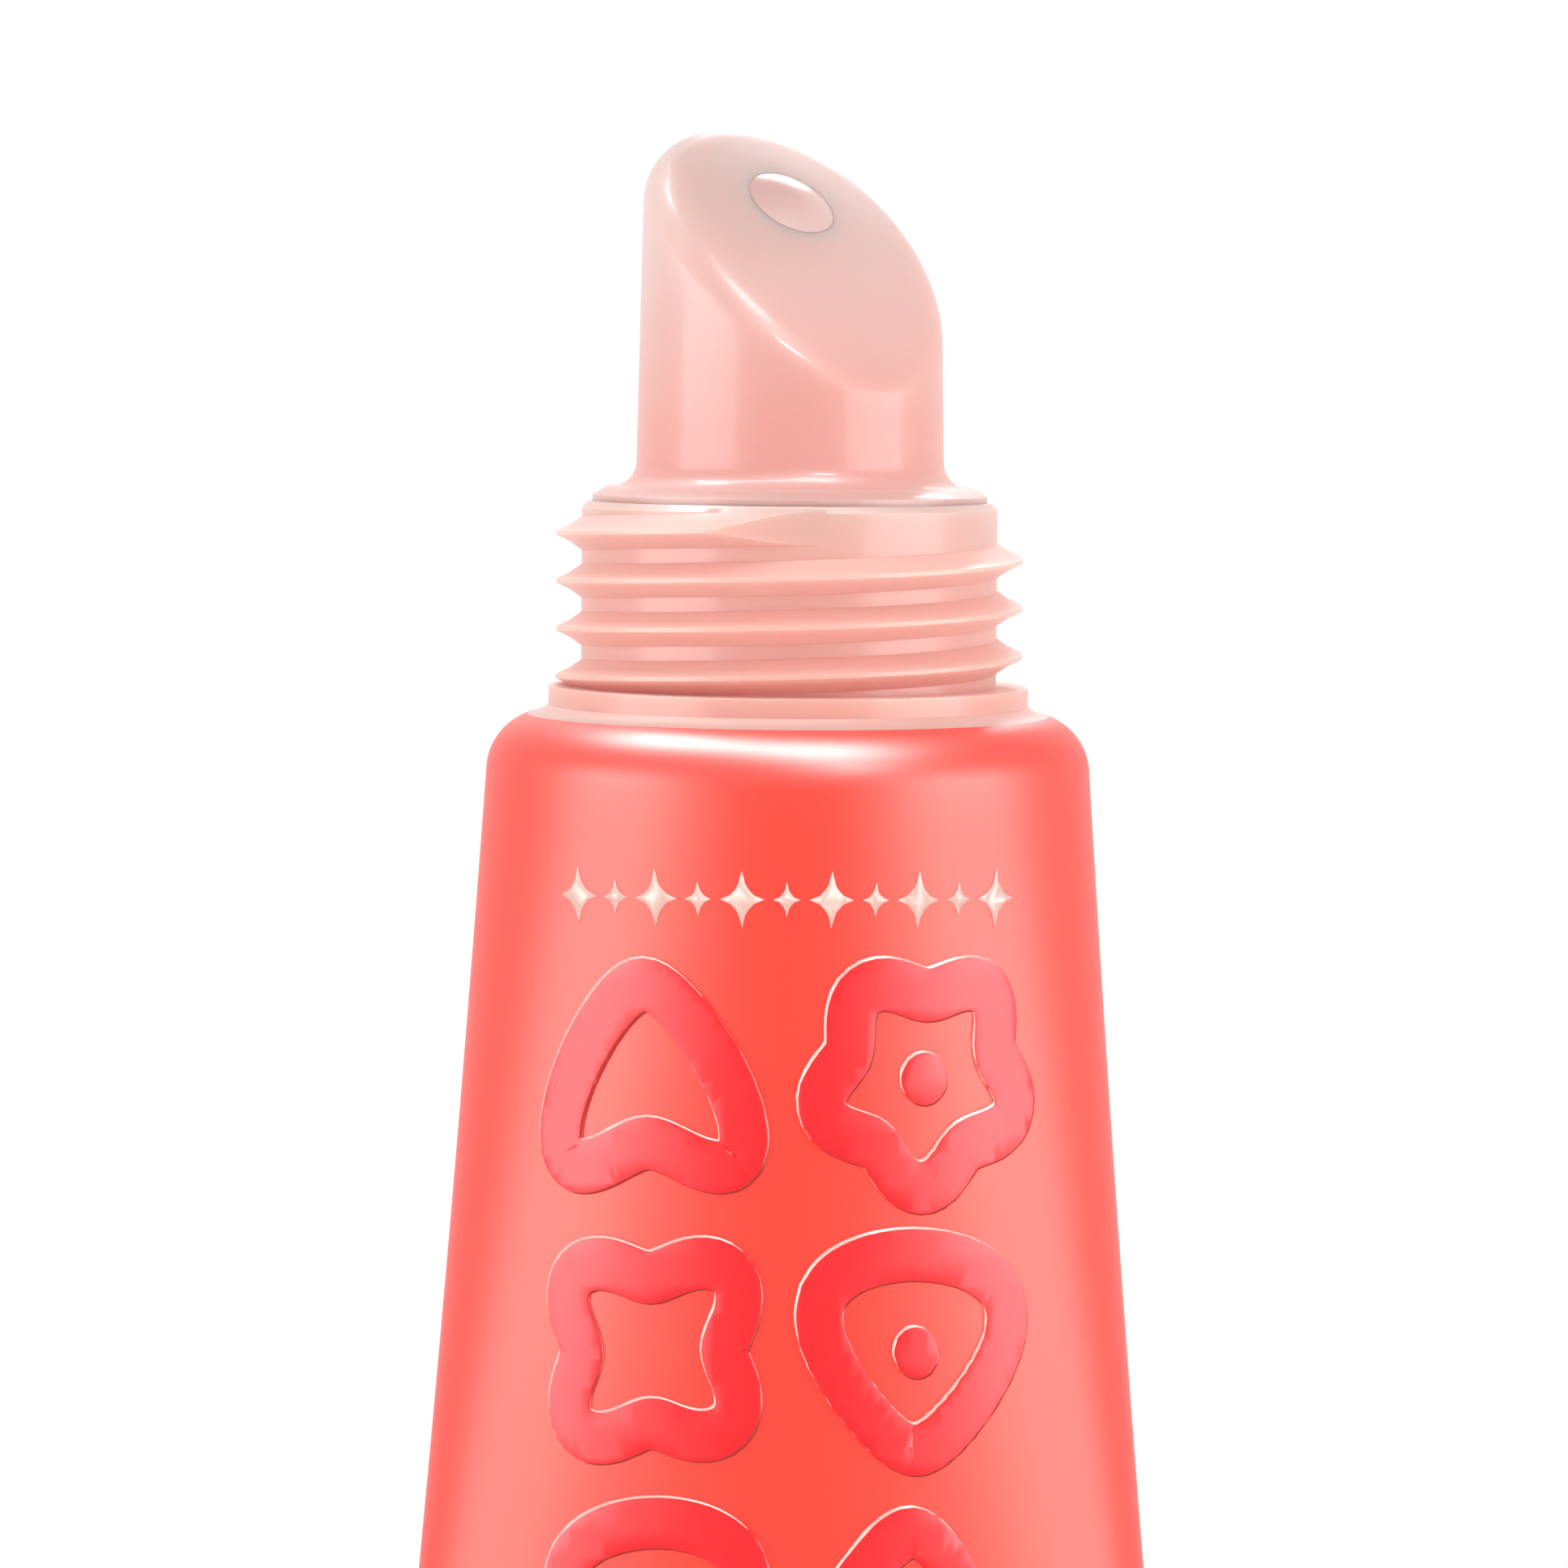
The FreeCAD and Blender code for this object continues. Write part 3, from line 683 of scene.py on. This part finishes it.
class GLOSSTUBE_OT_stage(bpy.types.Operator):
    """Set the pale floor, the soft studio light and the camera"""
    bl_idname = "gloss_tube.stage"
    bl_label = "Stage"

    def execute(self, context):
        bpy.ops.object.select_all(action="DESELECT")
        bpy.ops.mesh.primitive_plane_add(size=8, location=(0, 0, 0))
        floor = context.object
        floor.name = "floor"
        material, _ = new_material("Matt white painted board", base_color=linear("F7F7F7"), roughness=0.9,
                                   specular_ior_level=0.0)
        floor.data.materials.append(material)
        floor.visible_glossy = False
        world = bpy.data.worlds.new("studio")
        world.use_nodes = True
        world.node_tree.nodes["Background"].inputs["Color"].default_value = (1, 1, 1, 1)
        world.node_tree.nodes["Background"].inputs["Strength"].default_value = 1.08
        context.scene.world = world
        middle = Vector((0, 0, 0.07))
        # name, direction round the tube, height, distance, width, length, power in watts
        lights = (("left soft box", -65, 0.04, 0.42, 0.38, 0.36, 6.6),
                  ("right soft box", 67, 0.04, 0.42, 0.40, 0.36, 6.9),
                  ("left low box", -44, -0.11, 0.40, 0.32, 0.22, 4.6),
                  ("right low box", 46, -0.11, 0.40, 0.32, 0.22, 4.6),
                  ("overhead box", -45, 0.50, 0.04, 0.58, 0.22, 24.0),
                  ("small front lamp", 28, 0.36, 0.36, 0.12, 0.035, 2.6),
                  ("small back lamp", 172, 0.26, 0.30, 0.10, 0.06, 0.5))
        for name, around, height, distance, width, length, power in lights:
            angle = math.radians(around)
            place = Vector((math.sin(angle) * distance, -math.cos(angle) * distance, height))
            lamp = bpy.data.lights.new(name, "AREA")
            lamp.shape = "RECTANGLE"
            lamp.size = width
            lamp.size_y = length
            lamp.energy = power
            holder = bpy.data.objects.new(name, lamp)
            holder.location = place
            holder.rotation_euler = (middle - place).to_track_quat("-Z", "Y").to_euler()
            # the white surroundings light the plastic, and the lamps only give it its reflections
            holder.visible_diffuse = False
            holder.visible_camera = False
            context.scene.collection.objects.link(holder)
        eye = bpy.data.cameras.new("camera")
        eye.lens = 146
        eye.sensor_width = 36
        eye.clip_start = 0.01
        camera = bpy.data.objects.new("camera", eye)
        aside = -0.000115
        camera.location = (aside, -0.2, 0.07665)
        look = Vector((aside, 0, 0.0627)) - camera.location
        turn = look.to_track_quat("-Z", "Y") @ Quaternion((0, 0, 1), math.radians(0.45))
        camera.rotation_euler = turn.to_euler()
        context.scene.collection.objects.link(camera)
        context.scene.camera = camera
        context.scene.view_settings.view_transform = "Standard"
        return {"FINISHED"}


class GLOSSTUBE_PT_panel(bpy.types.Panel):
    """Lists the gloss tube's pieces, sizes and colours"""
    bl_idname = "GLOSSTUBE_PT_panel"
    bl_label = "Gloss Tube"
    bl_space_type = "VIEW_3D"
    bl_region_type = "UI"
    bl_category = "Gloss Tube"

    def draw(self, context):
        for operator in OPERATORS:
            self.layout.operator(operator.bl_idname)
        for group in (context.scene.gloss_tube_sizes, context.scene.gloss_tube_colours):
            for name in group.bl_rna.properties.keys():
                if name not in ("name", "rna_type"):
                    self.layout.prop(group, name)


OPERATORS = (GLOSSTUBE_OT_sleeve, GLOSSTUBE_OT_crimp_ribs, GLOSSTUBE_OT_print, GLOSSTUBE_OT_tip_and_head,
             GLOSSTUBE_OT_cap, GLOSSTUBE_OT_stage)
CLASSES = (GlossTubeSizes, GlossTubeColours) + OPERATORS + (GLOSSTUBE_PT_panel,)


def register():
    for cls in CLASSES:
        bpy.utils.register_class(cls)
    bpy.types.Scene.gloss_tube_sizes = bpy.props.PointerProperty(type=GlossTubeSizes)
    bpy.types.Scene.gloss_tube_colours = bpy.props.PointerProperty(type=GlossTubeColours)


def unregister():
    del bpy.types.Scene.gloss_tube_colours
    del bpy.types.Scene.gloss_tube_sizes
    for cls in reversed(CLASSES):
        bpy.utils.unregister_class(cls)


def main():
    register()
    bpy.ops.gloss_tube.sleeve()
    bpy.ops.gloss_tube.crimp_ribs()
    bpy.ops.gloss_tube.ornaments()
    bpy.ops.gloss_tube.tip_and_head()
    bpy.ops.gloss_tube.cap()
    bpy.ops.gloss_tube.stage()


if __name__ == "__main__":
    main()
